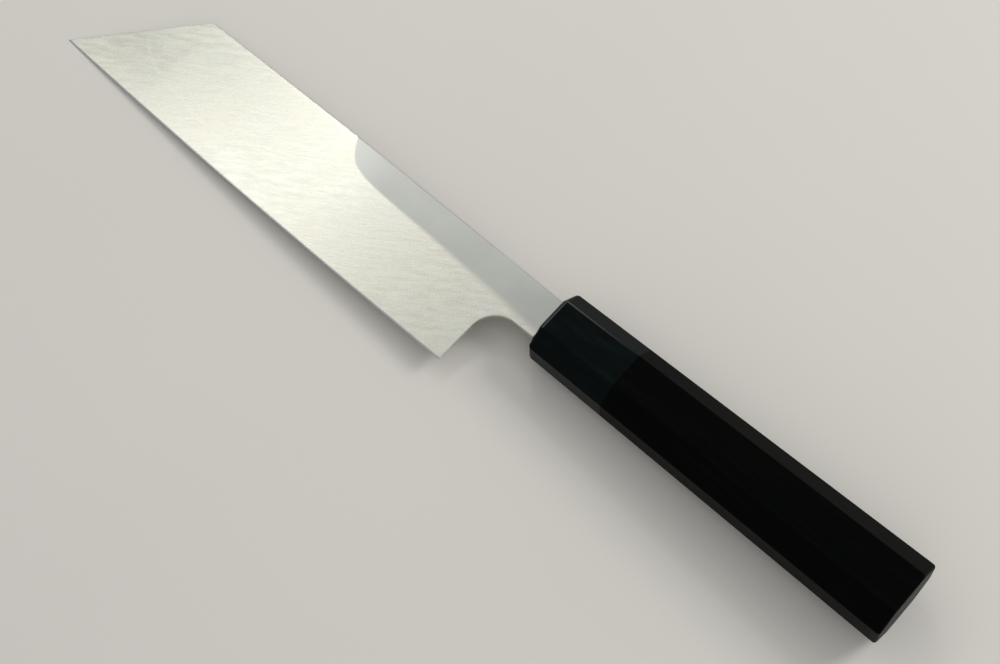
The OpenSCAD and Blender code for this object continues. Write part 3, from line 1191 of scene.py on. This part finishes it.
def soft_iron_finish():
    """Stone-ground bevel and satin flat side of the iron body."""
    finish = Finish("soft_iron_stone_ground", {"Metallic": 1.0})
    ground, rim = finish.attribute("ground"), finish.attribute("rim")
    lines = finish.grain(finish.place, (0.03, 0.00035, 0.02), 0.03, detail=4.0, roughness=0.6)
    haze = finish.noise(finish.place, 38.0, detail=3.0)

    bevel = finish.colour("bevel")
    cool = shade(bevel, 0.95, 0.97, 1.0)
    bevel_tone, bevel_rough, marks = stone_ground(finish, shade(bevel, 0.94), bevel, cool, 0.27)
    flat = finish.colour("flat")
    flat_tone = finish.mix(finish.band(haze, 0.35, 0.65), shade(flat, 0.9), flat)
    flat_tone = finish.mix(finish.band(lines, 0.5, 0.75, 0.0, 0.35), flat_tone, shade(flat, 1.12))
    along = finish.node("ShaderNodeSeparateXYZ", None, {"Vector": finish.place})["X"]
    # Painted highlight: the flat side is painted lighter towards its front end
    flat_painted_highlight = finish.band(along, -0.060, -0.040, 1.0, 0.0)
    flat_tone = finish.mix(flat_painted_highlight, flat_tone, shade(flat, 1.25))
    steel = finish.mix(ground, flat_tone, bevel_tone)
    # Painted shade: the eased rims of spine, tip, heel and notch and their side walls are painted darker
    # grey
    finish.set("Base Color", finish.mix(rim * 0.5, steel, (0.42, 0.42, 0.41)))

    flat_rough = 0.36 + (lines - 0.5) * 0.14 + (haze - 0.5) * 0.1
    finish.set("Roughness", bevel_rough * ground + flat_rough * (1 - ground))
    relief = finish.relief(marks * ground, 0.00003)
    finish.set("Normal", finish.relief(lines * (1 - ground), 0.00001, relief))
    return finish.material


def hard_steel_finish():
    """Hard steel: ground with the bevel along the edge, finer on the hollow back."""
    finish = Finish("hard_steel_stone_ground", {"Metallic": 1.0})
    back = finish.attribute("back")
    across = finish.grain(finish.place, (0.0003, 0.012, 1.0), -0.2, detail=3.0, roughness=0.65)
    honed = finish.band(finish.attribute("from_edge"), 0.3, 0.6, 1.0, 0.0)

    bevel, under = finish.colour("bevel"), finish.colour("back")
    dark, light, cool = shade(bevel, 0.93), shade(bevel, 0.985), shade(bevel, 0.94, 0.96, 0.99)
    strip, strip_rough, marks = stone_ground(finish, dark, light, cool, 0.265)
    strip = finish.mix(honed, strip, (0.55, 0.56, 0.57))
    hollow = finish.mix(finish.band(across, 0.35, 0.7), shade(under, 0.85), under)
    finish.set("Base Color", finish.mix(back, strip, hollow))

    under_rough = 0.3 + (across - 0.5) * 0.2
    finish.set("Roughness", (strip_rough - honed * 0.12) * (1 - back) + under_rough * back)
    relief = finish.relief(marks * (1 - back) * (1 - honed), 0.00003)
    finish.set("Normal", finish.relief(across * back, 0.00001, relief))
    return finish.material


def horn_finish():
    """Polished black horn: faint marbling, buffing marks and fine scratches, and a painted highlight on
    the crease and front rim.
    """
    constants = {"IOR": 1.4, "Specular IOR Level": 0.045, "Coat Roughness": 0.3}
    finish = Finish("black_horn_polished", constants)
    worn = finish.attribute("worn")
    loose = finish.wandering(finish.place, 45.0, 0.006)
    marbling = finish.grain(loose, (0.02, 0.004, 0.004), detail=4.0, roughness=0.6)
    buffing = finish.grain(finish.place, (0.0004, 0.006, 0.006), detail=3.0, roughness=0.7)
    scratches = finish.grain(finish.place, (0.009, 0.0003, 0.0003), 0.5)
    horn = finish.colour("horn")
    base = finish.mix(finish.band(marbling, 0.45, 0.75), horn, shade(horn, 1.9, 1.8, 1.8))
    # Painted highlight: the crease and a band of the front rim are lightened to grey and given a clear
    # coat
    finish.set("Base Color", finish.mix(worn, base, (0.055, 0.060, 0.056)))
    finish.set("Coat Weight", worn)
    rough = 0.26 + (marbling - 0.5) * 0.1 + (buffing - 0.5) * 0.12
    finish.set("Roughness", rough + finish.band(scratches, 0.62, 0.8, 0.0, 0.12))
    waves = finish.relief(marbling, 0.00001)
    finish.set("Normal", finish.relief(buffing, 0.000001, waves))
    return finish.material


def wood_finish():
    """Oiled black wood: close straight grain, open pores and a soft sheen."""
    finish = Finish("black_wood_oiled", {"IOR": 1.4, "Specular IOR Level": 0.03})
    loose = finish.wandering(finish.place, 25.0, 0.003)
    grain = finish.grain(loose, (0.06, 0.0016, 0.0016), detail=4.0, roughness=0.6)
    pores = finish.grain(loose, (0.0045, 0.00028, 0.00028))
    bands = finish.grain(loose, (0.09, 0.006, 0.006), detail=3.0)
    open_pores = finish.band(pores, 0.6, 0.72)
    wood, streak = finish.colour("wood"), finish.colour("pores")
    base = finish.mix(finish.band(grain, 0.45, 0.75, 0.0, 0.8), wood, streak)
    base = finish.mix(finish.band(bands, 0.5, 0.7, 0.0, 0.5), base, streak)
    finish.set("Base Color", finish.mix(open_pores, base, (0.0012, 0.0011, 0.001)))
    finish.set("Roughness", 0.36 + (grain - 0.5) * 0.16 + open_pores * 0.2)
    relief = finish.relief(grain, 0.00003)
    finish.set("Normal", finish.relief(1 - open_pores, 0.00002, relief))
    return finish.material


def resin_finish():
    """Set resin: amber, slightly cloudy, with the marks of the pour."""
    finish = Finish("bedding_resin", {"IOR": 1.5})
    cloud = finish.noise(finish.place, 180.0, detail=3.0)
    resin = finish.colour("resin")
    finish.set("Base Color", finish.mix(finish.band(cloud, 0.35, 0.7), shade(resin, 0.6), resin))
    finish.set("Roughness", 0.35 + (cloud - 0.5) * 0.3)
    finish.set("Normal", finish.relief(cloud, 0.0001))
    return finish.material


def sealant_finish():
    """Black sealant smoothed by a finger: soft ripples and dust."""
    finish = Finish("seal_black", {"IOR": 1.45})
    ripples = finish.noise(finish.place, 900.0, detail=3.0, roughness=0.6)
    dust = finish.noise(finish.place, 6000.0)
    seal = finish.colour("seal")
    finish.set("Base Color", finish.mix(finish.band(dust, 0.6, 0.8), seal, shade(seal, 4)))
    finish.set("Roughness", 0.42 + (ripples - 0.5) * 0.3)
    finish.set("Normal", finish.relief(ripples, 0.00008))
    return finish.material


def floor_finish():
    """Plain pale floor with a barely uneven tone."""
    finish = Finish("floor_plain", {"Roughness": 0.9})
    tone = finish.noise(finish.place, 6.0, detail=3.0)
    pale = finish.colour("floor")
    finish.set("Base Color", finish.mix(finish.band(tone, 0.3, 0.7), shade(pale, 0.985), pale))
    return finish.material


# ---------------------------------------------------------------------------
# Stage
# ---------------------------------------------------------------------------


def add_light(name, place, aim, size, watts, tint):
    """A soft rectangular light that faces a point."""
    data = bpy.data.lights.new(name, "AREA")
    data.shape = "RECTANGLE"
    data.size, data.size_y = size
    data.energy = watts
    data.color = tint
    light = bpy.data.objects.new(name, data)
    bpy.context.scene.collection.objects.link(light)
    light.location = place
    light.rotation_euler = (Vector(aim) - Vector(place)).to_track_quat("-Z", "Y").to_euler()


def add_camera(stage):
    """The camera, turned to its target."""
    data = bpy.data.cameras.new("camera")
    data.lens = stage.lens
    data.sensor_width = 36.0
    data.clip_start = 0.01
    camera = bpy.data.objects.new("camera", data)
    bpy.context.scene.collection.objects.link(camera)
    a, e = stage.azimuth, stage.elevation
    back = Vector((math.sin(a) * math.cos(e), -math.cos(a) * math.cos(e), math.sin(e)))
    level = Vector((math.cos(a), math.sin(a), 0))
    upright = back.cross(level)
    up = math.cos(stage.roll) * upright + math.sin(stage.roll) * level
    right = math.cos(stage.roll) * level - math.sin(stage.roll) * upright
    turn = Matrix((right, up, back)).transposed().to_4x4()
    camera.matrix_world = Matrix.Translation(Vector(stage.target) + back * stage.distance) @ turn
    bpy.context.scene.camera = camera


class KNIFE_OT_stage(bpy.types.Operator):
    """Set the floor, the lights and the camera"""

    bl_idname = "knife.stage"
    bl_label = "Stage"

    def execute(self, context):
        stage = context.scene.knife_stage
        mesh = bpy.data.meshes.new("floor")
        half = 2.5
        corners = [(-half, -half, 0), (half, -half, 0), (half, half, 0), (-half, half, 0)]
        mesh.from_pydata(corners, [], [(0, 1, 2, 3)])
        mesh.materials.append(floor_finish())
        floor = bpy.data.objects.new("floor", mesh)
        context.scene.collection.objects.link(floor)

        lights = (
            ("strip", (-0.45, 0.0, 0.75), (-0.45, 0.0, 0.0), (0.15, 0.75), (1.0, 0.99, 0.96)),
            ("panel", (-0.45, 0.45, 0.75), (-0.45, 0.45, 0.0), (0.15, 0.15), (0.97, 0.99, 1.0)),
            ("side", (0.5, 0.8, 0.75), (0.0, 0.0, 0.0), (0.4, 0.4), (1.0, 0.99, 0.97)),
        )
        for name, place, aim, size, tint in lights:
            add_light(name, place, aim, size, getattr(stage, f"{name}_power"), tint)

        world = bpy.data.worlds.new("room")
        world.use_nodes = True
        background = world.node_tree.nodes["Background"]
        background.inputs["Color"].default_value = (1.0, 1.0, 1.0, 1.0)
        background.inputs["Strength"].default_value = stage.room
        context.scene.world = world
        context.scene.view_settings.view_transform = "Standard"

        add_camera(stage)
        return {"FINISHED"}


class KNIFE_PT_build(bpy.types.Panel):
    """Sidebar list of the knife's pieces"""

    bl_idname = "KNIFE_PT_build"
    bl_label = "Eel Knife"
    bl_space_type = "VIEW_3D"
    bl_region_type = "UI"
    bl_category = "Knife"

    def draw(self, context):
        layout = self.layout
        for operator in OPERATORS:
            layout.operator(operator.bl_idname)
        for name, group in SETTINGS.items():
            box = layout.box()
            for field in group.__annotations__:
                box.prop(getattr(context.scene, name), field)


SETTINGS = {
    "knife_blade": BladeSizes,
    "knife_handle": HandleSizes,
    "knife_finish": FinishColours,
    "knife_stage": StageSettings,
}
OPERATORS = (KNIFE_OT_stage, KNIFE_OT_blade, KNIFE_OT_handle, KNIFE_OT_mouth)


def register():
    """Registers the settings, the operators and the panel."""
    for name, group in SETTINGS.items():
        bpy.utils.register_class(group)
        setattr(bpy.types.Scene, name, PointerProperty(type=group))
    for operator in (*OPERATORS, KNIFE_PT_build):
        bpy.utils.register_class(operator)


def unregister():
    """Takes everything that register() added away again."""
    for operator in reversed((*OPERATORS, KNIFE_PT_build)):
        bpy.utils.unregister_class(operator)
    for name, group in SETTINGS.items():
        delattr(bpy.types.Scene, name)
        bpy.utils.unregister_class(group)


def main():
    """Builds the stage and every piece."""
    register()
    bpy.ops.knife.stage()
    bpy.ops.knife.blade()
    bpy.ops.knife.handle()
    bpy.ops.knife.mouth()


if __name__ == "__main__":
    main()
